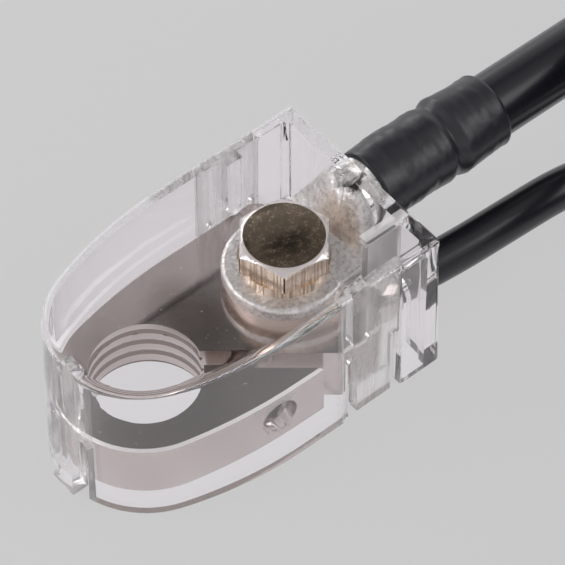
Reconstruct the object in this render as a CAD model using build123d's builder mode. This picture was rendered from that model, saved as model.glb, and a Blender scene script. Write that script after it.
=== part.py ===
import os
from math import atan2, cos, pi, radians, sin, sqrt, tan

from build123d import *

os.makedirs("parts", exist_ok=True)

# Battery terminal clamp, millimetres. Origin on the post bore's axis in the plane of the hood's rim,
# +X towards the cables, +Z up out of the battery, the screw side at -Y.

# Block
BLOCK_BOTTOM = 3.5
BLOCK_TOP = 13.7
BLOCK_NOSE = 13.0
BLOCK_HALF = 14.8
BLOCK_BACK = 33.5
POST_RADIUS = 8.45
LIP_HEIGHT = 1.2
POST_SLOPE = 1 / 18
GROOVE_DEPTH = 0.5
GROOVE_PITCH = 2.75
GROOVE_WIDE = 1.1
GROOVE_COUNT = 4
BLOCK_CORNER = 3.0
BLOCK_CHAMFER = 0.4
SLOT_WIDTH = 2.5
SLOT_ANGLE = -37.8
SLOT_POINT = (15.9, -9.8)
SLOT_LENGTH = 26.0
SLOT_SHIFT = 2.0
PAD_RADIUS = 8.6
SEAT = 16.0
FLANK_X = 16.0

# Screw across the slot
SCREW_X = 12.3
SCREW_Z = 8.8
SCREW_SHANK = 1.95
SCREW_THREAD = 2.0
SCREW_CLEAR = 2.2
SCREW_HEAD = 2.85
SCREW_SINK = 3.0
SCREW_SEAT_Y = -10.4
SCREW_HEAD_HEIGHT = 2.9
SCREW_END_Y = 5.0
SCREW_RUN_OUT = 0.6
SCREW_JAW_Y = -7.0
SCREW_FLATS = 3.0
SCREW_SOCKET = 2.0

# Bolt and washer
BOLT_X = 26.0
BOLT_SHANK = 3.95
BOLT_THREAD = 4.0
BOLT_FLATS = 13.0
BOLT_CHAMFER = 6.05
BOLT_TURN = -9.8
HEAD_BOTTOM = 19.9
HEAD_TOP = 24.2
BOLT_END = 4.6
WASHER_IN = 4.1
WASHER_OUT = 6.9
WASHER_GAP = 1.3
PALM_TOP = 18.1

# Hood
HOOD_HEIGHT = 27.9
HOOD_NOSE = 14.2
HOOD_HALF = 16.9
HOOD_BACK = 41.1
HOOD_DRAFT = 1.67
PLATE = 1.8
CAVITY_NOSE = 13.3
CAVITY_HALF = 15.7
CAVITY_BACK = 39.5
CAVITY_DRAFT = 0.5
TOP_ROUND = 1.3
RIM_CORNER = 3.0
CAVITY_CORNER = 1.5
RIB_BOTTOM = 14.0
RIB_X = ((-1, 26.9), (1, 28.3))
RIB_Y = 14.0
RIB_HALF = 1.5
NOSE_RIB_X = -11.6
NOSE_RIB_HALF = 1.6
RIB_DEPTH = 2.0
GUIDE_PLACE = (36.6, -9.7)
GUIDE_SIZE = (7.0, 1.2)
GUIDE_BOTTOM = 17.8
SHELF_HEIGHT = 4.8
SHELF_DEPTH = 1.1
SHELF_Y = 15.7
LEDGE_X = -14.6
LEDGE_DEPTH = 2.4
LEDGE_HEIGHT = 4.6
LATCH_X = (25.8, 32.1)
STATION_X = (22.7, 33.8)
STATION_DEPTH = 0.45
SLIT = 2.0
SLIT_TOP = 13.0
NOSE_SLIT = (2.3, 4.3)
KNOCKOUT_X = (33.9, 38.9)
KNOCKOUT_TOP = 21.5
KNOCKOUT_Y = 15.1
KNOCKOUT_DEPTH = 1.3
KNOCKOUT_CORNER = 0.8
NOTCH_Y = (1.4, -8.35)
NOTCH_RADIUS = (6.1, 3.8)

# Main cable
MAIN_RADIUS = 5.25
MAIN_Y = 2.0
MAIN_Z = 20.2
MAIN_LAY = 6.65
LUG_TURN = 5.5
MAIN_TUBE = 5.75
MAIN_COIL = 40.0
MAIN_CENTRE = (114.0, MAIN_Y - 40.0)
MAIN_SLOPE = (66.0, 8.0, -10.0)

# Branch cable
BRANCH_RADIUS = 3.3
BRANCH_Z = 9.6
BRANCH_TURN = -3.3
BRANCH_START = (39.0, -8.24)
BRANCH_TUBE = 4.0
BRANCH_BARREL = 7.5
BRANCH_BORE = 2.35
BRANCH_STRAND = 2.3
BRANCH_DEPTH = 6.0
BRANCH_LAY = 4.6
BRANCH_COIL = 40.0
BRANCH_Y = -11.2
BRANCH_CENTRE = (122.0, BRANCH_Y - 40.0)
BRANCH_SLOPE = (86.0, 64.0, 52.0)
COIL_GAP = 0.2

# Ties round the coils
TIE_WALL = 1.3
TIE_GAP = 0.15
TIE_LOCK = 3.4
TIE_LOCK_OUT = 1.4
TIE_LOCK_SIDE = 0.7
MAIN_TIE = {"wide": 4.8, "angle": -40}
BRANCH_TIE = {"wide": 3.6, "angle": -60}

# Heat-shrink sleeves: (distance along the cable, radius)
LUG_SLEEVE = ((16.9, 5.8), (16.9, 6.2), (17.1, 6.35), (22.0, 6.35), (22.0, 5.8))
MAIN_START = 47.6
MAIN_SLEEVE = (
    (MAIN_START + 0.1, 5.36),
    (MAIN_START + 0.1, 6.35),
    (56.9, 6.35),
    (57.6, 6.1),
    (58.4, 6.3),
    (65.2, 6.3),
    (67.4, 5.7),
    (67.4, 5.36),
)
SLEEVE_GAP = 0.05
SLEEVE_STEP = 0.52
SLEEVE_TAPER = 1.5
MAIN_FAR_SLEEVE = {"wire": MAIN_RADIUS, "grip": 5.0, "outer": 6.35, "length": 16.0}
BRANCH_FAR_SLEEVE = {"wire": BRANCH_RADIUS, "grip": 4.0, "outer": 4.1, "length": 12.0}

# Cable lugs
SHOULDER_LAP = 0.6
DENT_POINT = 0.6
STRAND_GAP = 0.05
MAIN_LUG = {
    "palm": 9.35,
    "thick": 2.1,
    "eye": 4.2,
    "tube": MAIN_TUBE,
    "rise": MAIN_Z - SEAT,
    "flat_x": 9.2,
    "tube_x": 12.0,
    "end_x": 21.1,
    "strand": 4.3,
    "depth": 5.2,
    "dent": 4.6,
    "dent_deep": 2.6,
    "dent_x": 13.8,
}
BRANCH_LUG = {
    "palm": 6.0,
    "thick": 1.2,
    "eye": 3.2,
    "tube": 3.3,
    "rise": 3.4,
    "flat_x": 6.2,
    "tube_x": 9.0,
    "end_x": 17.0,
    "strand": 2.35,
    "depth": 4.6,
    "dent": 2.8,
    "dent_deep": 1.5,
    "dent_x": 10.7,
}


def outline(nose, half, back, corner):
    # Nose circle, a flank arc tangent to it on each side, straight sides and a square back.
    lean = half - nose
    reach = (FLANK_X**2 + lean**2) / (2 * lean)
    centre_y = half - nose - reach
    flank = reach + nose
    meet = atan2(-centre_y, -FLANK_X)
    middle = (meet + pi / 2) / 2
    touch = (nose * cos(meet), nose * sin(meet))
    bend = (FLANK_X + flank * cos(middle), centre_y + flank * sin(middle))
    cut = corner * (1 - cos(pi / 4))
    with BuildLine() as edge:
        ThreePointArc(touch, (-nose, 0), (touch[0], -touch[1]))
        ThreePointArc((touch[0], -touch[1]), (bend[0], -bend[1]), (FLANK_X, -half))
        Line((FLANK_X, -half), (back - corner, -half))
        ThreePointArc((back - corner, -half), (back - cut, cut - half), (back, corner - half))
        Line((back, corner - half), (back, half - corner))
        ThreePointArc((back, half - corner), (back - cut, half - cut), (back - corner, half))
        Line((back - corner, half), (FLANK_X, half))
        ThreePointArc((FLANK_X, half), bend, touch)
    make_face(edge.line.edges())


# ---------------------------------------------------------------- block
cone_top = BLOCK_TOP - LIP_HEIGHT


def post_radius(height):
    return POST_RADIUS + (cone_top - height) * POST_SLOPE


groove_tops = [cone_top - index * GROOVE_PITCH for index in range(GROOVE_COUNT)]
bore_line = [(0, BLOCK_TOP + 1), (POST_RADIUS, BLOCK_TOP + 1), (POST_RADIUS, cone_top)]
for groove_top in groove_tops:
    bore_line += [
        (post_radius(groove_top) + 0.01, groove_top - 0.01),
        (post_radius(groove_top) + GROOVE_DEPTH, groove_top - GROOVE_DEPTH),
        (post_radius(groove_top - GROOVE_WIDE) + 0.01, groove_top - GROOVE_WIDE),
    ]
bore_line += [(0, groove_tops[-1] - GROOVE_WIDE)]

branch_lean = Plane(
    origin=(BRANCH_START[0], BRANCH_START[1], BRANCH_Z),
    x_dir=(0, 0, 1),
    z_dir=(cos(radians(BRANCH_TURN)), sin(radians(BRANCH_TURN)), 0),
)

with BuildPart() as clamp_block:
    with BuildSketch(Plane.XY.offset(BLOCK_BOTTOM)):
        outline(BLOCK_NOSE, BLOCK_HALF, BLOCK_BACK, BLOCK_CORNER)
    extrude(amount=BLOCK_TOP - BLOCK_BOTTOM)
    chamfer(clamp_block.faces().sort_by(Axis.Z)[-1].edges(), BLOCK_CHAMFER)
    chamfer(clamp_block.faces().sort_by(Axis.Z)[0].edges(), BLOCK_CHAMFER)
    # Raised contact pad under the main lug
    with BuildSketch(Plane.XY.offset(BLOCK_TOP)):
        with Locations((BOLT_X, 0)):
            Circle(PAD_RADIUS)
    extrude(amount=SEAT - BLOCK_TOP)
    # Crimp barrel for the branch cable
    with BuildSketch(branch_lean):
        Circle(BRANCH_TUBE)
    extrude(amount=-BRANCH_BARREL)
    with BuildSketch(branch_lean):
        Circle(BRANCH_BORE)
    extrude(amount=-BRANCH_DEPTH, mode=Mode.SUBTRACT)
    # Post bore with its lip, taper and grooves
    with BuildSketch(Plane.XZ):
        with BuildLine():
            Polyline(*bore_line, close=True)
        make_face()
    revolve(axis=Axis.Z, mode=Mode.SUBTRACT)
    with BuildSketch(Plane.XY.offset(BLOCK_BOTTOM)):
        Circle(post_radius(BLOCK_BOTTOM) - 0.05)
    extrude(amount=2, mode=Mode.SUBTRACT)
    # Slot from the bore to the near side
    slot_plane = Plane.XY.offset(BLOCK_BOTTOM - 1) * Location((SLOT_POINT[0], SLOT_POINT[1], 0), (0, 0, SLOT_ANGLE))
    with BuildSketch(slot_plane):
        with Locations((SLOT_SHIFT, 0)):
            Rectangle(SLOT_LENGTH, SLOT_WIDTH)
    extrude(amount=BLOCK_TOP - BLOCK_BOTTOM + 2, mode=Mode.SUBTRACT)
    # Bolt thread
    with BuildSketch(Plane.XY.offset(BLOCK_BOTTOM - 1)):
        with Locations((BOLT_X, 0)):
            Circle(BOLT_THREAD)
    extrude(amount=SEAT - BLOCK_BOTTOM + 2, mode=Mode.SUBTRACT)
    # Screw: sunk head, clearance through the jaw, thread beyond the slot
    screw_plane = Plane(origin=(SCREW_X, 0, SCREW_Z), x_dir=(1, 0, 0), z_dir=(0, 1, 0))
    with BuildSketch(screw_plane.offset(SCREW_END_Y + SCREW_RUN_OUT)):
        Circle(SCREW_THREAD)
    extrude(amount=SCREW_JAW_Y - SCREW_END_Y - SCREW_RUN_OUT, mode=Mode.SUBTRACT)
    with BuildSketch(screw_plane.offset(SCREW_JAW_Y)):
        Circle(SCREW_CLEAR)
    extrude(amount=-4.0, mode=Mode.SUBTRACT)
    with BuildSketch(screw_plane.offset(SCREW_SEAT_Y)):
        Circle(SCREW_SINK)
    extrude(amount=-6.0, mode=Mode.SUBTRACT)

# ---------------------------------------------------------------- screw and bolt
with BuildPart() as clamp_screw:
    with BuildSketch(screw_plane.offset(SCREW_SEAT_Y)):
        Circle(SCREW_SHANK)
    extrude(amount=SCREW_END_Y - SCREW_SEAT_Y)
    with BuildSketch(screw_plane.offset(SCREW_SEAT_Y)):
        Circle(SCREW_HEAD)
    extrude(amount=-SCREW_HEAD_HEIGHT)
    chamfer(clamp_screw.faces().sort_by(Axis.Y)[0].edges(), 0.25)
    with BuildSketch(screw_plane.offset(SCREW_SEAT_Y - SCREW_HEAD_HEIGHT)):
        RegularPolygon(SCREW_FLATS / 2, 6, major_radius=False)
    extrude(amount=SCREW_SOCKET, mode=Mode.SUBTRACT)

head_plane = Plane.XY.offset(HEAD_BOTTOM) * Location((BOLT_X, 0, 0), (0, 0, BOLT_TURN))
with BuildPart() as terminal_bolt:
    with BuildSketch(head_plane):
        RegularPolygon(BOLT_FLATS / 2, 6, major_radius=False)
    extrude(amount=HEAD_TOP - HEAD_BOTTOM)
    # Cone that rounds the head's corners
    with BuildSketch(Plane.XZ):
        with BuildLine():
            Polyline(
                (BOLT_X, HEAD_BOTTOM),
                (BOLT_X + 9, HEAD_BOTTOM),
                (BOLT_X + 9, HEAD_TOP - (9 - BOLT_CHAMFER) * tan(radians(30))),
                (BOLT_X + BOLT_CHAMFER, HEAD_TOP),
                (BOLT_X, HEAD_TOP),
                close=True,
            )
        make_face()
    revolve(axis=Axis((BOLT_X, 0, 0), (0, 0, 1)), mode=Mode.INTERSECT)
    with BuildSketch(Plane.XY.offset(BOLT_END)):
        with Locations((BOLT_X, 0)):
            Circle(BOLT_SHANK)
    extrude(amount=HEAD_BOTTOM - BOLT_END)
    chamfer(terminal_bolt.faces().sort_by(Axis.Z)[0].edges(), 0.6)

with BuildPart() as spring_washer:
    with BuildSketch(Plane.XY.offset(PALM_TOP)):
        with Locations((BOLT_X, 0)):
            Circle(WASHER_OUT)
            Circle(WASHER_IN, mode=Mode.SUBTRACT)
    extrude(amount=HEAD_BOTTOM - PALM_TOP)
    gap_plane = Plane(origin=(BOLT_X, 5.8, PALM_TOP + 0.95), x_dir=(1, 0, 0), z_dir=(0, 1, 0))
    with BuildSketch(gap_plane.offset(-2.2)):
        with Locations(Location((0, 0, 0), (0, 0, 38))):
            Rectangle(WASHER_GAP, 6)
    extrude(amount=5, mode=Mode.SUBTRACT)


# ---------------------------------------------------------------- lugs
# Eye at the origin, barrel along +X, crimped from above by a square point
def ring_lug(palm, thick, eye, tube, rise, flat_x, tube_x, end_x, strand, depth, dent, dent_deep, dent_x):
    with BuildPart() as lug:
        with BuildSketch(Plane.XY):
            Circle(palm)
            with Locations((flat_x / 2, 0)):
                Rectangle(flat_x, 3 * tube)
            Circle(eye, mode=Mode.SUBTRACT)
        extrude(amount=thick)
        with BuildSketch(Plane.YZ.offset(flat_x - SHOULDER_LAP)):
            with Locations((0, thick / 2)):
                Ellipse(1.5 * tube, thick / 2)
        with BuildSketch(Plane.YZ.offset(tube_x)):
            with Locations((0, rise)):
                Circle(tube)
        loft()
        with BuildSketch(Plane.YZ.offset(tube_x)):
            with Locations((0, rise)):
                Circle(tube)
        extrude(amount=end_x - tube_x)
        with BuildSketch(Plane.YZ.offset(end_x)):
            with Locations((0, rise)):
                Circle(strand)
        extrude(amount=-depth, mode=Mode.SUBTRACT)
        with BuildSketch(Plane.XY.offset(rise + tube)):
            with Locations(Location((dent_x, 0, 0), (0, 0, 45))):
                Rectangle(dent, dent)
        with BuildSketch(Plane.XY.offset(rise + tube - dent_deep)):
            with Locations(Location((dent_x, 0, 0), (0, 0, 45))):
                Rectangle(DENT_POINT, DENT_POINT)
        loft(mode=Mode.SUBTRACT)
    return lug.part


def strand_end(strand, rise, end_x, depth):
    with BuildPart() as strands:
        with BuildSketch(Plane.YZ.offset(end_x - depth)):
            with Locations((0, rise)):
                Circle(strand)
        extrude(amount=depth)
    return strands.part


main_place = Location((BOLT_X, 0, SEAT), (0, 0, LUG_TURN))
main_lug = main_place * ring_lug(**MAIN_LUG)
main_conductor = main_place * strand_end(
    MAIN_LUG["strand"] - STRAND_GAP, MAIN_LUG["rise"], MAIN_LUG["end_x"], MAIN_LUG["depth"]
)

with BuildPart() as branch_conductor:
    with BuildSketch(branch_lean):
        Circle(BRANCH_STRAND)
    extrude(amount=-BRANCH_DEPTH)

# ---------------------------------------------------------------- cables
# Two coils out of view, the main one lying on the branch one
main_top = MAIN_Z + 2 * MAIN_RADIUS + COIL_GAP
main_stub = sqrt((MAIN_COIL + MAIN_RADIUS + COIL_GAP) ** 2 - (MAIN_COIL - MAIN_RADIUS) ** 2)
main_lead = [
    (MAIN_START, MAIN_Y, MAIN_Z),
    (70.0, MAIN_Y + 0.05, MAIN_Z),
    (MAIN_CENTRE[0] - main_stub, MAIN_Y, MAIN_Z),
]
main_foot = MAIN_CENTRE[1] - MAIN_COIL
main_tail = [
    (MAIN_CENTRE[0] - main_stub, main_foot, main_top),
    (MAIN_SLOPE[0], main_foot, main_top),
    (MAIN_SLOPE[1], main_foot, MAIN_LAY),
    (MAIN_SLOPE[2], main_foot, MAIN_LAY),
]
branch_top = BRANCH_LAY + 2 * BRANCH_RADIUS + COIL_GAP
branch_stub = sqrt((BRANCH_COIL + BRANCH_RADIUS + COIL_GAP) ** 2 - (BRANCH_COIL - BRANCH_RADIUS) ** 2)
branch_lead = [
    (BRANCH_START[0] + 0.02, BRANCH_START[1], BRANCH_Z),
    (61.0, -9.53, BRANCH_Z),
    (74.0, -10.4, BRANCH_Z),
    (88.0, BRANCH_Y, BRANCH_LAY),
    (BRANCH_CENTRE[0] - branch_stub, BRANCH_Y, BRANCH_LAY),
]
branch_foot = BRANCH_CENTRE[1] - BRANCH_COIL
branch_tail = [
    (BRANCH_CENTRE[0] - branch_stub, branch_foot, branch_top),
    (BRANCH_SLOPE[0], branch_foot, branch_top),
    (BRANCH_SLOPE[1], branch_foot, BRANCH_LAY),
    (BRANCH_SLOPE[2], branch_foot, BRANCH_LAY),
]


def bend_radii(points):
    radii = []
    for before, here, after in zip(points, points[1:], points[2:]):
        one = Vector(*here) - Vector(*before)
        two = Vector(*after) - Vector(*here)
        half_turn = radians(one.get_angle(two)) / 2
        radii.append(round(0.45 * min(one.length, two.length) / tan(half_turn), 2))
    return radii


def tube(points, radius):
    radii = bend_radii(points)
    with BuildPart() as run:
        with BuildLine() as path:
            FilletPolyline(*points, radius=radii)
        with BuildSketch(Plane(origin=points[0], z_dir=Vector(*points[1]) - Vector(*points[0]))):
            Circle(radius)
        sweep()
    length = sum(edge.length for edge in path.edges())
    print("tube radii", radii, "length", round(length, 1), "bulk", round(run.part.volume / (pi * radius**2 * length), 4))
    return run.part, length


# A coil's outer shape: two stacked turns as one ring, with the straight run that comes in along the foot
# and the one that leaves over the top, both on the ring's -X side.
def coil(centre, radius, wire, low, top, stub):
    with BuildPart() as ring:
        with BuildSketch(Plane(origin=(centre[0], centre[1], 0), x_dir=(1, 0, 0), z_dir=(0, -1, 0))):
            with Locations(Location((radius, (low + top) / 2, 0), (0, 0, 90))):
                SlotCenterToCenter(top - low, 2 * wire + COIL_GAP)
        revolve(axis=Axis((centre[0], centre[1], 0), (0, 0, 1)))
        for side, height in ((1, low), (-1, top)):
            with BuildSketch(Plane.YZ.offset(centre[0] - stub)):
                with Locations((centre[1] + side * radius, height)):
                    Circle(wire)
            extrude(amount=stub - 1.0)
    return ring.part


def tie(centre, radius, wire, low, top, wide, angle):
    out = Vector(cos(radians(angle)), sin(radians(angle)), 0)
    base = Plane(origin=Vector(*centre) + out * radius, x_dir=out, z_dir=(out.Y, -out.X, 0))
    inner = wire + TIE_GAP
    middle = (low + top) / 2
    outer = wire + TIE_WALL
    with BuildPart() as strap:
        with BuildSketch(base.offset(-wide / 2)):
            with Locations(Location((0, middle, 0), (0, 0, 90))):
                SlotCenterToCenter(top - low, 2 * outer)
                SlotCenterToCenter(top - low, 2 * inner, mode=Mode.SUBTRACT)
        extrude(amount=wide)
        with BuildSketch(base.offset(-wide / 2 - TIE_LOCK_SIDE)):
            with Locations((outer + TIE_LOCK_OUT, middle)):
                Rectangle(TIE_LOCK, wide + 1.6)
        extrude(amount=wide + 2 * TIE_LOCK_SIDE)
    return strap.part


main_run, main_run_length = tube(main_lead, MAIN_RADIUS)
main_end, main_end_length = tube(main_tail, MAIN_RADIUS)
branch_run, branch_run_length = tube(branch_lead, BRANCH_RADIUS)
branch_end, branch_end_length = tube(branch_tail, BRANCH_RADIUS)
main_cable = Compound(children=[main_run, main_end])
branch_cable = Compound(children=[branch_run, branch_end])
main_cable_coil = coil(MAIN_CENTRE, MAIN_COIL, MAIN_RADIUS, MAIN_Z, main_top, main_stub)
branch_cable_coil = coil(BRANCH_CENTRE, BRANCH_COIL, BRANCH_RADIUS, BRANCH_LAY, branch_top, branch_stub)
main_coil_tie = tie(MAIN_CENTRE, MAIN_COIL, MAIN_RADIUS, MAIN_Z, main_top, **MAIN_TIE)
branch_coil_tie = tie(BRANCH_CENTRE, BRANCH_COIL, BRANCH_RADIUS, BRANCH_LAY, branch_top, **BRANCH_TIE)
print("main length", round(main_run_length + main_end_length + 2 * main_stub + 3 * pi * MAIN_COIL, 1))
print("branch length", round(branch_run_length + branch_end_length + 2 * branch_stub + 3 * pi * BRANCH_COIL, 1))

# ---------------------------------------------------------------- sleeves
lug_axis = Axis((BOLT_X, 0, MAIN_Z), (cos(radians(LUG_TURN)), sin(radians(LUG_TURN)), 0))
lug_half = Plane(origin=(BOLT_X, 0, MAIN_Z), x_dir=lug_axis.direction, z_dir=(0, 0, 1))
with BuildPart() as main_sleeve:
    with BuildSketch(lug_half):
        with BuildLine():
            Polyline(*LUG_SLEEVE, close=True)
        make_face()
    revolve(axis=lug_axis)
    with BuildSketch(Plane(origin=(0, MAIN_Y, MAIN_Z), x_dir=(1, 0, 0), z_dir=(0, 0, 1))):
        with BuildLine():
            Polyline(*MAIN_SLEEVE, close=True)
        make_face()
    revolve(axis=Axis((0, MAIN_Y, MAIN_Z), (1, 0, 0)))


def far_sleeve(end_point, wire, grip, outer, length):
    with BuildPart() as sleeve:
        with BuildSketch(Plane(origin=(end_point[0], end_point[1], end_point[2]), x_dir=(1, 0, 0), z_dir=(0, 0, 1))):
            with BuildLine():
                Polyline(
                    (-grip, wire + SLEEVE_STEP),
                    (-grip, outer),
                    (length - grip - SLEEVE_TAPER, outer),
                    (length - grip, wire + SLEEVE_STEP),
                    (length - grip, wire + SLEEVE_GAP),
                    (SLEEVE_GAP, wire + SLEEVE_GAP),
                    (SLEEVE_GAP, wire + SLEEVE_STEP),
                    close=True,
                )
            make_face()
        revolve(axis=Axis((0, end_point[1], end_point[2]), (1, 0, 0)))
    return sleeve.part


main_far_place = Location((main_tail[-1][0] - MAIN_LUG["end_x"], main_foot, MAIN_LAY - MAIN_LUG["rise"]))
main_far_lug = main_far_place * ring_lug(**MAIN_LUG)
main_far_sleeve = far_sleeve(main_tail[-1], **MAIN_FAR_SLEEVE)
branch_far_place = Location((branch_tail[-1][0] - BRANCH_LUG["end_x"], branch_foot, BRANCH_LAY - BRANCH_LUG["rise"]))
branch_far_lug = branch_far_place * ring_lug(**BRANCH_LUG)
branch_far_sleeve = far_sleeve(branch_tail[-1], **BRANCH_FAR_SLEEVE)

# ---------------------------------------------------------------- hood
rim_half = HOOD_HALF + HOOD_HEIGHT * tan(radians(HOOD_DRAFT))
rim_nose = HOOD_NOSE + HOOD_HEIGHT * tan(radians(HOOD_DRAFT))
rim_back = HOOD_BACK + HOOD_HEIGHT * tan(radians(HOOD_DRAFT))
lean_sin = sin(radians(HOOD_DRAFT))
lean_cos = cos(radians(HOOD_DRAFT))
with BuildPart() as terminal_hood:
    with BuildSketch(Plane.XY):
        outline(rim_nose, rim_half, rim_back, RIM_CORNER)
    extrude(amount=HOOD_HEIGHT, taper=HOOD_DRAFT)
    fillet(terminal_hood.faces().sort_by(Axis.Z)[-1].edges(), TOP_ROUND)
    # Shallow recesses of the side latch stations, following the draft
    for side in (-1, 1):
        face = Plane(origin=(0, side * rim_half, 0), x_dir=(1, 0, 0), z_dir=(0, side * lean_cos, lean_sin))
        middle_x = (STATION_X[0] + STATION_X[1]) / 2
        with BuildSketch(face):
            with Locations((middle_x, 0)):
                Rectangle(STATION_X[1] - STATION_X[0], 80)
        extrude(amount=-STATION_DEPTH, mode=Mode.SUBTRACT)
    # Nose recess
    nose_face = Plane(origin=(-rim_nose, 0, 0), x_dir=(0, 1, 0), z_dir=(-lean_cos, 0, lean_sin))
    with BuildSketch(nose_face):
        Rectangle(2 * NOSE_SLIT[1] + 0.2, 80)
    extrude(amount=-STATION_DEPTH, mode=Mode.SUBTRACT)
    # Ledge at the foot of the nose tongue
    with BuildSketch(Plane.XY):
        with Locations((LEDGE_X, 0)):
            Rectangle(LEDGE_DEPTH, 2 * NOSE_SLIT[0])
    extrude(amount=LEDGE_HEIGHT)
    # Cavity
    with BuildSketch(Plane.XY):
        outline(CAVITY_NOSE, CAVITY_HALF, CAVITY_BACK, CAVITY_CORNER)
    extrude(amount=HOOD_HEIGHT - PLATE, taper=CAVITY_DRAFT, mode=Mode.SUBTRACT)
    # Stop ribs over the block, rounded at the foot and run into the top plate
    rib_top = HOOD_HEIGHT - 1
    for side, rib_x in RIB_X:
        wall = Plane(origin=(rib_x, side * RIB_Y, 0), x_dir=(-side, 0, 0), z_dir=(0, side, 0))
        with BuildSketch(wall):
            with Locations((0, (RIB_BOTTOM + RIB_HALF + rib_top) / 2)):
                Rectangle(2 * RIB_HALF, rib_top - RIB_BOTTOM - RIB_HALF)
            with Locations((0, RIB_BOTTOM + RIB_HALF)):
                Circle(RIB_HALF)
        extrude(amount=RIB_DEPTH)
    with BuildSketch(Plane(origin=(NOSE_RIB_X, 0, 0), x_dir=(0, -1, 0), z_dir=(-1, 0, 0))):
        with Locations((0, (RIB_BOTTOM + NOSE_RIB_HALF + rib_top) / 2)):
            Rectangle(2 * NOSE_RIB_HALF, rib_top - RIB_BOTTOM - NOSE_RIB_HALF)
        with Locations((0, RIB_BOTTOM + NOSE_RIB_HALF)):
            Circle(NOSE_RIB_HALF)
    extrude(amount=RIB_DEPTH)
    # Guide rib beside the main cable
    with BuildSketch(Plane.XY.offset(GUIDE_BOTTOM)):
        with Locations(GUIDE_PLACE):
            Rectangle(*GUIDE_SIZE)
    extrude(amount=rib_top - GUIDE_BOTTOM)
    # Latch tongues: slits open at the rim, thick foot with a shelf
    for side in (-1, 1):
        for slit_x in (LATCH_X[0] - SLIT / 2, LATCH_X[1] + SLIT / 2 - 0.15):
            with BuildSketch(Plane(origin=(slit_x, side * 15, 0), x_dir=(-side, 0, 0), z_dir=(0, side, 0))):
                with Locations((0, SLIT_TOP / 2 - 1)):
                    Rectangle(SLIT - 0.3, SLIT_TOP)
                with Locations((0, SLIT_TOP - 1)):
                    Circle((SLIT - 0.3) / 2)
            extrude(amount=4.0, mode=Mode.SUBTRACT)
        with BuildSketch(Plane.XY):
            with Locations(((LATCH_X[0] + LATCH_X[1]) / 2, side * SHELF_Y)):
                Rectangle(LATCH_X[1] - LATCH_X[0], SHELF_DEPTH)
        extrude(amount=SHELF_HEIGHT)
    for side in (-1, 1):
        slit_y = side * (NOSE_SLIT[0] + NOSE_SLIT[1]) / 2
        with BuildSketch(Plane(origin=(-12.0, slit_y, 0), x_dir=(0, -1, 0), z_dir=(-1, 0, 0))):
            with Locations((0, SLIT_TOP / 2 - 1)):
                Rectangle(NOSE_SLIT[1] - NOSE_SLIT[0], SLIT_TOP)
            with Locations((0, SLIT_TOP - 1)):
                Circle((NOSE_SLIT[1] - NOSE_SLIT[0]) / 2)
        extrude(amount=4.0, mode=Mode.SUBTRACT)
    # Thin knock-out panels in the rear side walls
    for side in (-1, 1):
        panel_x = (KNOCKOUT_X[0] + KNOCKOUT_X[1]) / 2
        with BuildSketch(Plane(origin=(panel_x, side * KNOCKOUT_Y, 0), x_dir=(-side, 0, 0), z_dir=(0, side, 0))):
            with Locations((0, KNOCKOUT_TOP / 2 - 1)):
                RectangleRounded(KNOCKOUT_X[1] - KNOCKOUT_X[0], KNOCKOUT_TOP + 2, KNOCKOUT_CORNER)
        extrude(amount=KNOCKOUT_DEPTH, mode=Mode.SUBTRACT)
    # Cable notches, open at the rim
    for notch_y, notch_z, notch in zip(NOTCH_Y, (MAIN_Z, BRANCH_Z), NOTCH_RADIUS):
        with BuildSketch(Plane.YZ.offset(CAVITY_BACK - 1.5)):
            with Locations((notch_y, notch_z)):
                Circle(notch)
            with Locations((notch_y, notch_z / 2 - 1)):
                Rectangle(2 * notch, notch_z + 2)
        extrude(amount=5.0, mode=Mode.SUBTRACT)

nodes = {
    "clamp_block": clamp_block.part,
    "clamp_screw": clamp_screw.part,
    "terminal_bolt": terminal_bolt.part,
    "spring_washer": spring_washer.part,
    "main_lug": main_lug,
    "main_conductor": main_conductor,
    "branch_conductor": branch_conductor.part,
    "main_sleeve": main_sleeve.part,
    "main_cable": main_cable,
    "main_cable_coil": main_cable_coil,
    "branch_cable": branch_cable,
    "branch_cable_coil": branch_cable_coil,
    "main_coil_tie": main_coil_tie,
    "branch_coil_tie": branch_coil_tie,
    "main_far_lug": main_far_lug,
    "main_far_sleeve": main_far_sleeve,
    "branch_far_lug": branch_far_lug,
    "branch_far_sleeve": branch_far_sleeve,
    "terminal_hood": terminal_hood.part,
}
for name, shape in nodes.items():
    shape.label = name
    export_step(shape, f"parts/{name}.step")
    box = shape.bounding_box()
    print(name, len(shape.solids()), round(shape.volume, 1), [round(v, 2) for v in (*box.min, *box.max)])
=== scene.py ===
from math import cos, pi, radians, sin

import bmesh
import bpy
from mathutils import Matrix, Vector, noise


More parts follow.
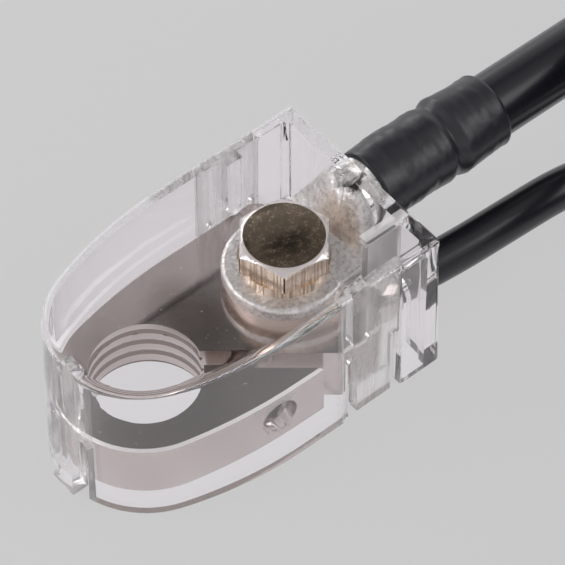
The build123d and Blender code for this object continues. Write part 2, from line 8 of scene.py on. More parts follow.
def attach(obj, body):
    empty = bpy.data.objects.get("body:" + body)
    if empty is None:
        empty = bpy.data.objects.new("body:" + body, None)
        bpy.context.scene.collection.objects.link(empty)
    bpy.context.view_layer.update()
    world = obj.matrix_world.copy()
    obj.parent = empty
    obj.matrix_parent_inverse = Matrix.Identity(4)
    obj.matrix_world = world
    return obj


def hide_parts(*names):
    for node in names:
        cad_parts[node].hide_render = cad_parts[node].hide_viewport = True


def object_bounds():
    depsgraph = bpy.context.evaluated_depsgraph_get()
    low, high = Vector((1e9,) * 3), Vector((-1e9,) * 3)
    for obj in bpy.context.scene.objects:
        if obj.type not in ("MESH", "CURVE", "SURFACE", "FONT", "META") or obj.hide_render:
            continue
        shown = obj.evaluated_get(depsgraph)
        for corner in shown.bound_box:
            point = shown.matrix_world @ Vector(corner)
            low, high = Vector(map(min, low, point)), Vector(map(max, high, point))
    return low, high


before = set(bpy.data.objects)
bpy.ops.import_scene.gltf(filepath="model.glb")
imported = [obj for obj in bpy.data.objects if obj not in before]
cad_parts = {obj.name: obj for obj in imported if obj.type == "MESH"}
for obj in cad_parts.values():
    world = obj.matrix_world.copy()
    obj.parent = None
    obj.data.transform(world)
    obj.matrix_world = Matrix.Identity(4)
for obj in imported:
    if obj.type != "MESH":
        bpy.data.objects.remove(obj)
cadBox = [list(corner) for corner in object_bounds()]
mm = 0.001
print("CAD model loaded")


class Wire:
    # One output of a node, with the arithmetic that the finishes use
    def __init__(self, nodes, socket):
        self.nodes = nodes
        self.socket = socket

    def work(self, operation, first, second):
        return self.nodes.add("ShaderNodeMath", {"operation": operation}, {0: first, 1: second})

    def __add__(self, other):
        return self.work("ADD", self, other)

    def __radd__(self, other):
        return self.work("ADD", other, self)

    def __sub__(self, other):
        return self.work("SUBTRACT", self, other)

    def __rsub__(self, other):
        return self.work("SUBTRACT", other, self)

    def __mul__(self, other):
        return self.work("MULTIPLY", self, other)

    def __rmul__(self, other):
        return self.work("MULTIPLY", other, self)

    def out(self, name):
        return Wire(self.nodes, self.socket.node.outputs[name])


class Nodes:
    # The node tree of one finish, the floor or the world
    def __init__(self, owner):
        owner.use_nodes = True
        self.tree = owner.node_tree
        self.tree.nodes.clear()

    def add(self, kind, settings=None, inputs=None):
        node = self.tree.nodes.new(kind)
        for name, value in (settings or {}).items():
            if name != "stops":
                setattr(node, name, value)
                continue
            ramp = node.color_ramp
            while len(ramp.elements) < len(value):
                ramp.elements.new(0.5)
            for element, (position, shade) in zip(ramp.elements, value):
                element.position = position
                element.color = (shade, shade, shade, 1.0) if isinstance(shade, float) else (*shade, 1.0)
        for name, value in (inputs or {}).items():
            if isinstance(value, Wire):
                self.tree.links.new(value.socket, node.inputs[name])
            else:
                node.inputs[name].default_value = value
        return Wire(self, node.outputs[0]) if len(node.outputs) else node

    def place(self, scale=1.0, stretch=(1.0, 1.0, 1.0), centre=(0.0, 0.0, 0.0)):
        coordinate = self.add("ShaderNodeTexCoord").out("Object")
        size = [scale * s for s in stretch]
        shift = [-c * s for c, s in zip(centre, size)]
        return self.add("ShaderNodeMapping", None, {"Vector": coordinate, "Location": shift, "Scale": size})

    def near(self, value, middle, half):
        return self.add("ShaderNodeMath", {"operation": "COMPARE"}, {0: value, 1: middle, 2: half})

    def larger(self, first, second):
        return self.add("ShaderNodeMath", {"operation": "MAXIMUM"}, {0: first, 1: second})

    def length(self, vector):
        return self.add("ShaderNodeVectorMath", {"operation": "LENGTH"}, {0: vector}).out("Value")

    def along(self, vector, way):
        product = self.add("ShaderNodeVectorMath", {"operation": "DOT_PRODUCT"}, {0: vector, 1: way})
        return product.out("Value")

    def mix(self, factor, first, second):
        return self.add("ShaderNodeMixShader", None, {0: factor, 1: first, 2: second})

    def axes(self):
        coordinate = self.add("ShaderNodeTexCoord").out("Object")
        split = self.add("ShaderNodeSeparateXYZ", None, {0: coordinate})
        return split.out("X"), split.out("Y"), split.out("Z")

    def noise(self, scale, detail=3.0, stretch=(1.0, 1.0, 1.0), roughness=0.5):
        return self.add(
            "ShaderNodeTexNoise",
            None,
            {"Vector": self.place(1.0, stretch), "Scale": scale, "Detail": detail, "Roughness": roughness},
        )

    def ramp(self, factor, *stops):
        return self.add("ShaderNodeValToRGB", {"stops": stops}, {"Fac": factor})

    def blend(self, factor, low, high):
        low, high = [value if isinstance(value, Wire) else (*value, 1.0) for value in (low, high)]
        mixed = self.add("ShaderNodeMix", {"data_type": "RGBA"}, {0: factor, 6: low, 7: high})
        return mixed.out(2)

    def bump(self, height, strength, distance):
        sockets = {"Height": height, "Strength": strength, "Distance": distance}
        return self.add("ShaderNodeBump", None, sockets)

    def shader(self, **sockets):
        spaced = {name.replace("_", " "): value for name, value in sockets.items()}
        return self.add("ShaderNodeBsdfPrincipled", None, spaced)

    def finish(self, shader):
        self.add("ShaderNodeOutputMaterial", None, {"Surface": shader})

    def surface(self, **sockets):
        self.finish(self.shader(**sockets))


def newFinish(name):
    material = bpy.data.materials.new(name)
    return material, Nodes(material)


# A finish of one colour all over
def plainFinish(name, colour, metallic, roughness):
    material, nodes = newFinish(name)
    nodes.surface(Base_Color=(*colour, 1.0), Metallic=metallic, Roughness=roughness)
    return material


# Nickel on the clamp block, cloudy and specked, with a painted dark reflection in the middle of its top
platedBlock = {
    "colour": (0.70, 0.635, 0.61),
    "stain": (0.60, 0.54, 0.515),
    "cloud": 70.0,
    "speck": 2300.0,
    "gloss": 0.12,
    "haze": 0.05,
    "speckle": 0.3,
    # Painted shade in the bore's grooves
    "paintedGrooveTone": (0.34, 0.285, 0.26),
    # Painted warm reflection on the pad's wall
    "pad": (0.97, 0.87, 0.81),
    # Painted highlight on the upper edge
    "edge": (0.97, 0.95, 0.94),
}
# The dark middle of the block's top is a painted dark reflection
paintedDarkReflection = {
    "place": (11.0 * mm, 2.5 * mm, 13.5 * mm),
    "reach": (115.0, 85.0, 333.0),
    "ragged": 0.3,
    "colour": (0.40, 0.345, 0.315),
}
nickel, n = newFinish("nickelPlate")
cloud = n.noise(platedBlock["cloud"], 3.0)
specks = n.ramp(n.noise(platedBlock["speck"], 2.0), (0.735, 0.0), (0.76, 1.0))
nickelTone = n.blend(n.ramp(cloud, (0.35, 0.0), (0.70, 1.0)), platedBlock["colour"], platedBlock["stain"])
# Distance from the painted dark reflection, made ragged by the cloud
fromDarkReflection = n.length(n.place(1.0, paintedDarkReflection["reach"], paintedDarkReflection["place"])) + cloud * paintedDarkReflection["ragged"]
dulled = n.ramp(cloud, (0.3, 0.0), (0.8, 1.0)) * platedBlock["haze"]
n.surface(
    Base_Color=n.blend(n.ramp(fromDarkReflection, (0.45, 1.0), (1.30, 0.0)), nickelTone, paintedDarkReflection["colour"]),
    Metallic=1.0,
    Roughness=platedBlock["gloss"] + dulled + specks * platedBlock["speckle"],
)
# Painted shade for the bore's groove slopes
paintedGrooveShade = plainFinish("paintedGrooveShade", platedBlock["paintedGrooveTone"], 1.0, 0.1)
# Painted warm reflection for the pad's wall
paintedPadReflection = plainFinish("paintedPadReflection", platedBlock["pad"], 0.8, 0.3)
# Painted highlight for the block's upper edge
paintedEdgeHighlight = plainFinish("blockEdgePaintedHighlight", platedBlock["edge"], 1.0, 0.35)

# Steel of the screw, the bolt and its washer
screwSteel = plainFinish("screwSteel", (0.60, 0.575, 0.56), 1.0, 0.25)

boltSteel = {
    "flat": (0.95, 0.80, 0.67),
    "grain": (0.48, 0.36, 0.26),
    # Painted highlight on the upper corner facets
    "facetHighlight": (0.97, 0.915, 0.89),
    # Painted dark reflection along the vertical corners
    "edge": (0.10, 0.075, 0.055),
    # Painted dark reflection on the top; the worn colour below gives its lighter specks
    "top": (0.15, 0.118, 0.082),
    "worn": (0.33, 0.26, 0.19),
    "brush": 3000.0,
    "speckle": 1300.0,
    "corner": 0.14 * mm,
}
zinc, n = newFinish("zincPlate")
brushed = n.ramp(n.noise(boltSteel["brush"], 3.0, (1.0, 1.0, 0.03)), (0.42, 0.0), (0.66, 1.0))
n.surface(
    Base_Color=n.blend(brushed, boltSteel["flat"], boltSteel["grain"]),
    Metallic=1.0,
    Roughness=0.24 + brushed * 0.1,
)

# Bolt's top: painted dark reflection, with lighter worn specks
boltTopPaintedShadeAndWear, n = newFinish("boltTopPaintedShadeAndWear")
speckle = n.ramp(n.noise(boltSteel["speckle"], 5.0, roughness=0.75), (0.46, 0.0), (0.70, 1.0))
n.surface(
    Base_Color=n.blend(speckle, boltSteel["top"], boltSteel["worn"]),
    Metallic=1.0,
    Roughness=0.16 + speckle * 0.2,
    Normal=n.bump(speckle, 0.10, 0.00015),
)
# Painted highlight for the upper corner facets
paintedFacetHighlight = plainFinish("paintedFacetHighlight", boltSteel["facetHighlight"], 0.6, 0.2)
# Painted dark reflection for the vertical corners
paintedCornerReflection = plainFinish("paintedCornerReflection", boltSteel["edge"], 1.0, 0.35)

# Tin on the lugs, pitted and patchy, with painted shade over the dent where the barrel is crimped
lugTin = {
    "colour": (0.99, 0.975, 0.96),
    "shade": (0.84, 0.815, 0.79),
    "pit": (0.62, 0.59, 0.565),
    "grain": 1500.0,
    "patch": 420.0,
    "gloss": 0.27,
    "dulled": 0.14,
}
# Painted shade over the crimp dent in the barrel
paintedCrimpShade = {
    "place": (39.1 * mm, 0.25 * mm, 24.6 * mm),
    "reach": (1.0, 1.0, 0.4),
    "size": 170.0,
    "ragged": 0.7,
    "dark": (0.05, 0.042, 0.037),
}
tin, n = newFinish("tinnedCopper")
grain = n.noise(lugTin["grain"], 4.0, roughness=0.6)
patch = n.noise(lugTin["patch"], 5.0, roughness=0.6)
shade = n.blend(n.ramp(patch, (0.44, 0.0), (0.66, 1.0)), lugTin["colour"], lugTin["shade"])
# Mask of the painted crimp shade
fromCrimpShade = n.length(n.place(paintedCrimpShade["size"], paintedCrimpShade["reach"], paintedCrimpShade["place"]))
ragged = n.noise(520.0, 4.0, (1.0, 1.0, 0.3), 0.6)
inCrimpShade = n.ramp(fromCrimpShade + ragged * paintedCrimpShade["ragged"], (0.57, 1.0), (0.68, 0.0))
pitted = n.blend(n.ramp(grain, (0.46, 0.0), (0.68, 1.0)), shade, lugTin["pit"])
n.surface(
    Base_Color=n.blend(inCrimpShade, pitted, paintedCrimpShade["dark"]),
    Metallic=0.75,
    Roughness=lugTin["gloss"] + n.ramp(patch, (0.35, 0.0), (0.7, 1.0)) * lugTin["dulled"],
    Normal=n.bump(grain * 0.4 + patch, 0.7, 0.0004),
)
copper = plainFinish("bareCopper", (0.72, 0.40, 0.26), 1.0, 0.35)

# Shrink sleeve with a dull bloom and a little dust
shrinkTube = {
    "colour": (0.012, 0.0115, 0.0155),
    "bloom": (0.034, 0.033, 0.043),
    "grain": 1500.0,
    "patch": 120.0,
    "dust": 1400.0,
    "gloss": 0.27,
    "dulled": 0.14,
}
shrink, n = newFinish("shrinkSleeve")
grain = n.noise(shrinkTube["grain"], 3.0)
patch = n.noise(shrinkTube["patch"], 4.0, (0.5, 1.0, 1.0))
dust = n.ramp(n.noise(shrinkTube["dust"], 1.0), (0.72, 0.0), (0.76, 1.0))
n.surface(
    Base_Color=n.blend(patch * 0.6 + dust * 0.3, shrinkTube["colour"], shrinkTube["bloom"]),
    Roughness=shrinkTube["gloss"] + patch * shrinkTube["dulled"],
    Normal=n.bump(grain * 0.25 + patch, 0.25, 0.0004),
)

# Cable jacket, smoother than the sleeve, and the ties' nylon
jacketPlastic = {"colour": (0.012, 0.012, 0.017), "patch": 90.0, "gloss": 0.22, "dulled": 0.12}
jacket, n = newFinish("cableJacket")
patch = n.noise(jacketPlastic["patch"], 3.0, (0.2, 1.0, 1.0))
n.surface(
    Base_Color=(*jacketPlastic["colour"], 1.0),
    Roughness=jacketPlastic["gloss"] + n.ramp(patch, (0.3, 0.0), (0.7, 1.0)) * jacketPlastic["dulled"],
    Normal=n.bump(patch, 0.12, 0.0004),
)
nylon = plainFinish("tieNylon", (0.02, 0.02, 0.02), 0.0, 0.45)

# Clear panels, with streaky milky plastic at the latches and on the guide rib
hoodPlastic = {
    "colour": (0.985, 0.97, 0.98),
    "bend": 1.36,
    "latch": (28.2 * mm, 5.9 * mm),
    "latchSide": 15.0 * mm,
    "nose": (-16.0 * mm, 3.4 * mm),
    "noseSide": 5.2 * mm,
    "guide": (36.5 * mm, -9.7 * mm, 27.0 * mm),
    "guideHalf": (4.0 * mm, 0.8 * mm, 9.6 * mm),
    "streak": 420.0,
    "milk": (0.95, 0.925, 0.925),
    "milky": 0.50,
    "noseMilk": 0.6,
    "ribMilk": 0.62,
    "walls": 0.035,
    "plate": 26.0 * mm,
}
clear, n = newFinish("clearPlastic")
x, y, z = n.axes()
latch = n.near(x, *hoodPlastic["latch"]) * (1.0 - n.near(y, 0.0, hoodPlastic["latchSide"]))
nose = n.near(x, *hoodPlastic["nose"]) * n.near(y, 0.0, hoodPlastic["noseSide"])
guide = 1.0
for axis, middle, half in zip((x, y, z), hoodPlastic["guide"], hoodPlastic["guideHalf"]):
    guide = n.near(axis, middle, half) * guide
streak = n.ramp(n.noise(hoodPlastic["streak"], 3.0, (1.0, 1.0, 0.08)), (0.35, 0.15), (0.68, 1.0))
haze = (latch + nose * hoodPlastic["noseMilk"]) * streak * hoodPlastic["milky"]
haze = haze + guide * hoodPlastic["ribMilk"]
haze = haze + n.near(z, 0.0, hoodPlastic["plate"]) * hoodPlastic["walls"]
glass = n.shader(
    Base_Color=(*hoodPlastic["colour"], 1.0),
    Roughness=0.0,
    Transmission_Weight=1.0,
    IOR=hoodPlastic["bend"],
)
milk = n.shader(
    Base_Color=(*hoodPlastic["milk"], 1.0),
    Roughness=0.30,
    Transmission_Weight=0.25,
    IOR=hoodPlastic["bend"],
)
n.finish(n.mix(haze, glass, milk))

# Pieces that stay as the CAD made them
finishes = {
    "clamp_screw": screwSteel,
    "spring_washer": zinc,
    "main_conductor": copper,
    "branch_conductor": copper,
    "main_coil_tie": nylon,
    "branch_coil_tie": nylon,
    "main_far_lug": tin,
    "main_far_sleeve": shrink,
    "branch_far_lug": tin,
    "branch_far_sleeve": shrink,
}
for node, material in finishes.items():
    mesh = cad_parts[node].data
    mesh.materials.clear()
    mesh.materials.append(material)
print("finishes made")


# A finished piece, on its body and in place of the CAD nodes that it stands for
def addPiece(name, mesh, material, body, slot, *replaced):
    piece = bpy.data.objects.new(name, mesh)
    bpy.context.scene.collection.objects.link(piece)
    if material:
        piece.data.materials.append(material)
    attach(piece, body)
    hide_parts(*replaced)
    return piece


# A CAD node's mesh with its doubles merged and its flat faces joined up
def copyOf(node):
    sheet = bmesh.new()
    sheet.from_mesh(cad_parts[node].data)
    bmesh.ops.remove_doubles(sheet, verts=sheet.verts, dist=0.0005 * mm)
    bmesh.ops.dissolve_limit(sheet, angle_limit=radians(0.5), verts=sheet.verts, edges=sheet.edges)
    return sheet


def softenEdges(sheet, edges, width, segments, material=-1):
    return bmesh.ops.bevel(
        sheet,
        geom=edges,
        offset=width,
        offset_type="OFFSET",
        segments=segments,
        profile=0.5,
        affect="EDGES",
        material=material,
        clamp_overlap=True,
    )


def meshOf(sheet, name, crease=35.0):
    for face in sheet.faces:
        face.smooth = True
    mesh = bpy.data.meshes.new(name)
    sheet.to_mesh(mesh)
    sheet.free()
    mesh.set_sharp_from_angle(angle=radians(crease))
    return mesh


# Terminal bolt: top painted dark as a reflection, with lighter worn specks; upper corner facets painted
# bright as a highlight; brushed flats; corner lines painted dark as a reflection
sheet = copyOf("terminal_bolt")
# Top faces get the painted dark reflection
for face in sheet.faces:
    if face.normal.z > 0.99:
        face.material_index = 1
    # Upper corner facets: painted highlight
    elif face.normal.z >= 0.3:
        face.material_index = 2
# Vertical corners: bevelled and painted dark as a reflection
corners = [
    edge
    for edge in sheet.edges
    if len(edge.link_faces) == 2
    and all(abs(face.normal.z) < 0.1 for face in edge.link_faces)
    and 0.8 < edge.calc_face_angle() < 1.3
]
softenEdges(sheet, corners, boltSteel["corner"], 1, 3)
boltMesh = meshOf(sheet, "boltMesh")
for finish in (zinc, boltTopPaintedShadeAndWear, paintedFacetHighlight, paintedCornerReflection):
    boltMesh.materials.append(finish)
addPiece("terminalBolt", boltMesh, None, "bolt", "zinc_steel", "terminal_bolt")

# Clamp block: plated all over, with a painted highlight along the upper edge, painted shade in the bore's
# grooves and a painted warm reflection on the pad's wall
blockShade = {
    "edge": (13.3 * mm, 13.7 * mm),
    "bore": 9.6 * mm,
    "lip": 12.6 * mm,
    "bolt": (26.0 * mm, 0.0),
    "pad": 8.6 * mm,
    "slack": 0.3 * mm,
    "foot": 13.6 * mm,
}
sheet = copyOf("clamp_block")
for face in sheet.faces:
    middle = face.calc_center_median()
    rise = face.normal.z
    fromPad = abs((middle.xy - Vector(blockShade["bolt"])).length - blockShade["pad"])
    # Upper edge chamfer: painted highlight
    if 0.6 < rise < 0.8 and blockShade["edge"][0] < middle.z < blockShade["edge"][1]:
        face.material_index = 1
    # Groove slopes in the bore: painted shade
    elif abs(rise) > 0.4 and middle.xy.length < blockShade["bore"] and middle.z < blockShade["lip"]:
        face.material_index = 2
    # Pad's wall: painted warm reflection
    elif abs(rise) < 0.5 and middle.z > blockShade["foot"] and fromPad < blockShade["slack"]:
        face.material_index = 3
blockMesh = meshOf(sheet, "blockMesh", 30.0)
for finish in (nickel, paintedEdgeHighlight, paintedGrooveShade, paintedPadReflection):
    blockMesh.materials.append(finish)
blockPiece = addPiece("clampBlock", blockMesh, None, "clamp", "plated_brass", "clamp_block")

# Main lug: rounded palm rim, the rest as made
lugPalm = {
    "axis": (26.0 * mm, 0.0),
    "radius": 9.35 * mm,
    "top": 18.1 * mm,
    "slack": 0.05 * mm,
    "rim": 0.75 * mm,
}


def onPalmRim(vert):
    reach = (vert.co.xy - Vector(lugPalm["axis"])).length
    atRadius = abs(reach - lugPalm["radius"]) < lugPalm["slack"]
    return atRadius and abs(vert.co.z - lugPalm["top"]) < lugPalm["slack"]


sheet = copyOf("main_lug")
rim = [edge for edge in sheet.edges if all(onPalmRim(vert) for vert in edge.verts)]
print("palm rim edges", len(rim))
softenEdges(sheet, rim, lugPalm["rim"], 4)
addPiece("mainLug", meshOf(sheet, "lugMesh"), tin, "clamp", "tinned_copper", "main_lug")
print("bolt, block and lug made")

# Hood: the shape as made, with its rear corners and rear top edge drawn out crisper
# and the thin rear panels carried up to the plate
hoodEdge = {
    "top": 27.9 * mm,
    "back": 41.1 * mm,
    "half": 16.9 * mm,
    "lean": 0.02916,
    "corner": 2.19 * mm,
    "cornerSlack": 0.12 * mm,
    "cornerKeep": 0.4,
    "round": 1.3 * mm,
    "roundKeep": 0.45,
    "panelTop": (20.6 * mm, 21.6 * mm),
    "panelAlong": (33.8 * mm, 39.0 * mm),
    "panelAcross": (14.9 * mm, 16.6 * mm),
    "panelLift": 4.3 * mm,
}


def onPanelTop(spot):
    checks = ((spot.z, "panelTop"), (spot.x, "panelAlong"), (abs(spot.y), "panelAcross"))
    return all(hoodEdge[key][0] < value < hoodEdge[key][1] for value, key in checks)


# How far the walls stand out at a depth below the top, as they lean outward
def hoodSpread(drop):
    return drop * hoodEdge["lean"]


# Where a point of the hood goes: distances to the back and side walls shrink at the rounded edges
def crisper(spot):
    drop = hoodEdge["top"] - spot.z
    spread = hoodSpread(drop)
    corner = hoodEdge["corner"] + spread
    fromBack = hoodEdge["back"] + spread - spot.x
    fromSide = hoodEdge["half"] + spread - abs(spot.y)
    rest = max(0.0, hoodEdge["round"] - drop)
    inset = max(0.0, hoodEdge["round"] - (hoodEdge["round"] ** 2 - rest**2) ** 0.5)
    if fromBack < corner and fromSide < corner:
        radius = corner - inset if inset < corner else corner
        gap = ((corner - fromBack) ** 2 + (corner - fromSide) ** 2) ** 0.5 - radius
        if abs(gap) < hoodEdge["cornerSlack"]:
            fromBack = inset + (fromBack - inset) * hoodEdge["cornerKeep"]
            fromSide = inset + (fromSide - inset) * hoodEdge["cornerKeep"]
    if drop < hoodEdge["round"] * 1.01 and fromBack < hoodEdge["round"] * 1.05:
        fromBack *= hoodEdge["roundKeep"]
        drop *= hoodEdge["roundKeep"]
        spread = hoodSpread(drop)
    side = 1.0 if spot.y > 0 else -1.0
    x = hoodEdge["back"] + spread - fromBack
    return Vector((x, side * (hoodEdge["half"] + spread - fromSide), hoodEdge["top"] - drop))


sheet = copyOf("terminal_hood")
for vert in sheet.verts:
    if onPanelTop(vert.co):
        vert.co.z += hoodEdge["panelLift"]
for vert in sheet.verts:
    vert.co = crisper(vert.co)
hoodMesh = meshOf(sheet, "hoodMesh", 30.0)
hoodPiece = addPiece("terminalHood", hoodMesh, clear, "hood", "clear_plastic", "terminal_hood")
for piece in (blockPiece, hoodPiece):
    even = piece.modifiers.new("even", "WEIGHTED_NORMAL")
    even.weight = 100
    even.keep_sharp = True
print("hood made")

# Main sleeve: two shrunk lengths with a neck between, uneven all over
sleeveShape = {
    "start": (42.83, 1.62, 20.2),
    "bend": (47.6, 2.06, 20.2),
    "sides": 64,
    "step": 0.35,
    "lump": 0.30,
    "lumpSize": 0.16,
    "lumpSeed": (3.0, 0.0, 1.0),
    "ripple": 0.10,
    "rippleSize": (0.9, 0.35, 0.35),
    "calmEnds": (0.3, 24.2),
    "calm": 0.2,
    "profile": [
        (0.0, 5.85), (0.05, 6.15), (0.35, 6.32), (1.5, 6.3), (4.0, 6.2), (7.0, 6.3), (9.5, 6.25),
        (11.5, 6.3), (13.0, 6.25), (13.8, 6.0), (14.3, 5.72), (14.6, 5.66), (15.0, 5.8), (15.5, 6.15),
        (16.2, 6.4), (18.0, 6.3), (20.0, 6.2), (22.0, 6.15), (23.5, 6.1), (24.2, 6.12), (24.4, 6.0),
        (24.42, 5.6), (24.3, 5.38),
    ],
}


# A point on the sleeve's middle line, which turns from the lug's way to the cable's at the bend
def alongSleeve(distance):
    first = Vector(sleeveShape["start"])
    bend = Vector(sleeveShape["bend"])
    leg = (bend - first).length
    if distance < leg:
        return first.lerp(bend, distance / leg)
    return bend + Vector((distance - leg, 0.0, 0.0))


# Unevenness of the sleeve's surface, small near its ends
def sleeveBulge(spot, distance):
    lumps = noise.noise(spot * sleeveShape["lumpSize"] + Vector(sleeveShape["lumpSeed"]))
    ripples = noise.noise(spot * Vector(sleeveShape["rippleSize"]))
    bulge = lumps * sleeveShape["lump"] + ripples * sleeveShape["ripple"]
    first, last = sleeveShape["calmEnds"]
    return bulge * (1.0 if first < distance < last else sleeveShape["calm"])


stations = []
for start, end in zip(sleeveShape["profile"], sleeveShape["profile"][1:]):
    steps = max(1, round((end[0] - start[0]) / sleeveShape["step"]))
    stations += [tuple(a + (b - a) * k / steps for a, b in zip(start, end)) for k in range(steps)]
stations.append(sleeveShape["profile"][-1])
sheet = bmesh.new()
made = bmesh.ops.create_circle(sheet, cap_ends=False, segments=sleeveShape["sides"], radius=1.0)
ring = made["verts"]
bmesh.ops.rotate(sheet, verts=ring, cent=(0, 0, 0), matrix=Matrix.Rotation(pi / 2, 3, "Y"))
edges = list(sheet.edges)
lastCentre = Vector((0.0, 0.0, 0.0))
for index, (distance, radius) in enumerate(stations):
    if index:
        grown = bmesh.ops.extrude_edge_only(sheet, edges=edges)["geom"]
        ring = [part for part in grown if isinstance(part, bmesh.types.BMVert)]
        edges = [part for part in grown if isinstance(part, bmesh.types.BMEdge)]
        edges = [edge for edge in edges if all(vert in ring for vert in edge.verts)]
    centre = alongSleeve(distance)
    for vert in ring:
        way = Vector((0.0, *(vert.co.yz - lastCentre.yz))).normalized()
        vert.co = centre + way * (radius + sleeveBulge(centre + way * radius, distance))
    lastCentre = centre
for vert in sheet.verts:
    vert.co *= mm
bmesh.ops.recalc_face_normals(sheet, faces=sheet.faces)
addPiece("mainSleeve", meshOf(sheet, "sleeveMesh", 60.0), shrink, "clamp", "sleeve", "main_sleeve")
print("sleeve made")

# Cables: lead out of the clamp, one and a half turns, tail to the far lug
mainCord = {
    "radius": 5.25,
    "lead": [(47.6, 2.0, 20.2), (70.0, 2.05, 20.2), (84.71, 2.0, 20.2)],
    "centre": (114.0, -38.0),
    "turn": 40.0,
    "low": 20.2,
    "high": 30.9,
    "tail": [(84.71, -78.0, 30.9), (66.0, -78.0, 30.9), (8.0, -78.0, 6.65), (-10.0, -78.0, 6.65)],
    "length": 571.8,
}
branchCord = {
    "radius": 3.3,
    "lead": [
        (39.02, -8.24, 9.6),
        (50.0, -9.55, 9.6),
        (61.0, -10.0, 9.6),
        (74.0, -10.6, 9.6),
        (88.0, -11.2, 4.6),
        (98.65, -11.2, 4.6),
    ],
    "centre": (122.0, -51.2),
    "turn": 40.0,
    "low": 4.6,
    "high": 11.4,
    "tail": [(98.65, -91.2, 11.4), (86.0, -91.2, 11.4), (64.0, -91.2, 4.6), (52.0, -91.2, 4.6)],
    "length": 531.6,
}
coilSteps = {"perTurn": 24, "turns": 1.5, "riseFrom": 240.0, "riseTo": 322.0}


def layCable(name, cord, *replaced):
    points = list(cord["lead"])
    steps = int(coilSteps["perTurn"] * coilSteps["turns"])
    for step in range(steps + 1):
        travel = step * 360.0 / coilSteps["perTurn"]
        share = (travel - coilSteps["riseFrom"]) / (coilSteps["riseTo"] - coilSteps["riseFrom"])
        height = cord["low"] + (cord["high"] - cord["low"]) * min(1.0, max(0.0, share))
        angle = radians(90.0 - travel)
        x = cord["centre"][0] + cord["turn"] * cos(angle)
        y = cord["centre"][1] + cord["turn"] * sin(angle)
        points.append((x, y, height))
    points += cord["tail"]
    curve = bpy.data.curves.new(name, "CURVE")
    curve.dimensions = "3D"
    curve.bevel_depth = cord["radius"] * mm
    curve.bevel_resolution = 8
    curve.resolution_u = 8
    curve.use_fill_caps = True
    spline = curve.splines.new("NURBS")
    spline.points.add(len(points) - 1)
    for target, point in zip(spline.points, points):
        target.co = (*(c * mm for c in point), 1.0)
    spline.order_u = 3
    spline.use_endpoint_u = True
    spline.use_smooth = True
    return addPiece(name, curve, jacket, "clamp", "insulation", *replaced)


mainCable = layCable("mainCable", mainCord, "main_cable", "main_cable_coil")
branchCable = layCable("branchCable", branchCord, "branch_cable", "branch_cable_coil")
for cable, cord, ends in (
    (mainCable, mainCord, ("main_far_lug", "main_far_sleeve", "main_coil_tie")),
    (branchCable, branchCord, ("branch_far_lug", "branch_far_sleeve", "branch_coil_tie")),
):
    [c * mm for c in cord["lead"][0]]
    cord["length"] * mm
    2 * cord["radius"] * mm
print("cables laid")

# Floor, pale and plain, with the part's own shadow
studio = {
    "floor": (0.614, 0.614, 0.614),
    "through": (0.76, 0.75, 0.77),
    "size": 3.0,
    "below": 0.2 * mm,
    "shown": 0.86,
}
floorMesh = bpy.data.meshes.new("floor")
sheet = bmesh.new()
bmesh.ops.create_grid(sheet, x_segments=1, y_segments=1, size=studio["size"])
bmesh.ops.translate(sheet, verts=sheet.verts, vec=(0.0, 0.0, cadBox[0][2] - studio["below"]))
sheet.to_mesh(floorMesh)
sheet.free()
floor = bpy.data.objects.new("floor", floorMesh)
bpy.context.scene.collection.objects.link(floor)
paper, n = newFinish("floorPaper")
rays = n.add("ShaderNodeLightPath")
shown = n.larger(rays.out("Is Camera Ray"), rays.out("Is Glossy Ray"))
shown = n.larger(shown, rays.out("Is Transmission Ray"))
matt = n.add("ShaderNodeBsdfDiffuse", None, {"Color": (*studio["floor"], 1.0)})
tone = n.blend(rays.out("Is Camera Ray"), studio["through"], studio["floor"])
plain = n.add("ShaderNodeEmission", None, {"Color": tone, "Strength": 1.0})
n.finish(n.mix(shown * studio["shown"], matt, plain))
floorMesh.materials.append(paper)

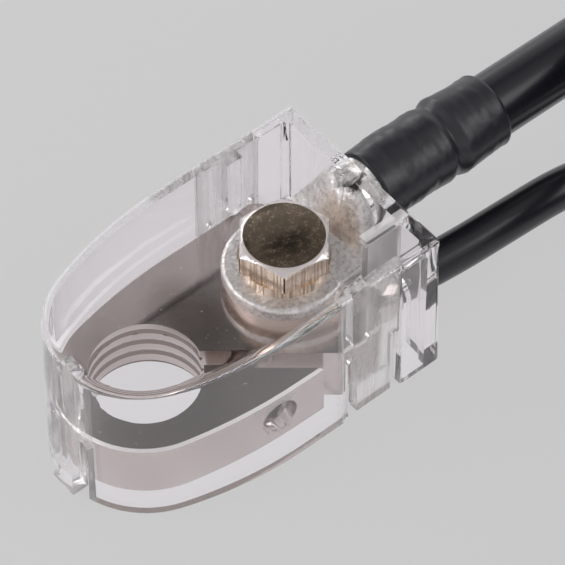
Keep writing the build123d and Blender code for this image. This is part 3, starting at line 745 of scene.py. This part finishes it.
# Room: pale walls, brighter low down, and one dark area high behind the part with a pale card's edge
room = {
    "darkWay": (0.36, 0.43, 0.83),
    "cardEdge": (0.0633, 0.8414, -0.5340),
    "cardShift": 0.05,
    "cardSpread": 10.0,
    "strength": 0.95,
}
world = bpy.data.worlds.new("studioRoom")
bpy.context.scene.world = world
n = Nodes(world)
way = n.add("ShaderNodeTexCoord").out("Generated")
height = n.add("ShaderNodeSeparateXYZ", None, {0: way}).out("Z")
wall = n.ramp(height, (0.0, 0.65), (0.06, 1.0), (0.30, 0.95), (0.55, 0.62), (1.0, 0.55))
around = n.ramp(n.along(way, room["darkWay"]), (0.82, 1.0), (0.93, 0.66), (0.985, 0.30), (0.998, 0.0))
toCard = (n.along(way, room["cardEdge"]) + room["cardShift"]) * room["cardSpread"]
card = n.ramp(toCard, (0.48, 0.09), (0.62, 0.15), (0.68, 0.25), (0.74, 0.44), (0.80, 0.9))
rays = n.add("ShaderNodeLightPath")
light = n.blend(rays.out("Is Camera Ray"), wall * n.larger(around, card), studio["floor"])
air = n.add("ShaderNodeBackground", None, {"Color": light, "Strength": room["strength"]})
n.add("ShaderNodeOutputWorld", None, {"Surface": air})

# Lamps, all aimed at the middle of the clamp
aim = Vector((0.02, 0.0, 0.0))
lamps = {
    "keyLamp": {"place": (-0.55, 0.30, 0.45), "size": (0.50, 0.35), "watts": 1.6},
    "rimLamp": {"place": (0.10, 0.70, 0.25), "size": (0.60, 0.20), "watts": 1.1},
    "fillLamp": {"place": (0.55, -0.45, 0.50), "size": (0.40, 0.40), "watts": 1.1},
}
for name, lamp in lamps.items():
    light = bpy.data.lights.new(name, "AREA")
    light.shape = "RECTANGLE"
    light.size, light.size_y = lamp["size"]
    light.energy = lamp["watts"]
    holder = bpy.data.objects.new(name, light)
    holder.location = lamp["place"]
    holder.rotation_euler = (aim - holder.location).to_track_quat("-Z", "Y").to_euler()
    bpy.context.scene.collection.objects.link(holder)

# Camera, with enough bounces for the clear hood
view = {
    "place": (-0.14585, -0.20615, 0.35907),
    "right": (0.768420, -0.639946, -0.000389),
    "up": (0.505533, 0.606650, 0.613525),
    "back": (-0.392386, -0.471641, 0.789676),
    "lens": 188.87,
    "sensor": 36.0,
}
camera = bpy.data.cameras.new("camera")
camera.lens = view["lens"]
camera.sensor_width = view["sensor"]
camera.clip_start = 0.01
cameraHolder = bpy.data.objects.new("camera", camera)
turn = Matrix((view["right"], view["up"], view["back"])).transposed()
cameraHolder.matrix_world = Matrix.Translation(view["place"]) @ turn.to_4x4()
bpy.context.scene.collection.objects.link(cameraHolder)
bpy.context.scene.camera = cameraHolder
bpy.context.scene.view_settings.view_transform = "Standard"
bpy.context.scene.cycles.max_bounces = 32
bpy.context.scene.cycles.glossy_bounces = 16
bpy.context.scene.cycles.transmission_bounces = 24
print("studio set")
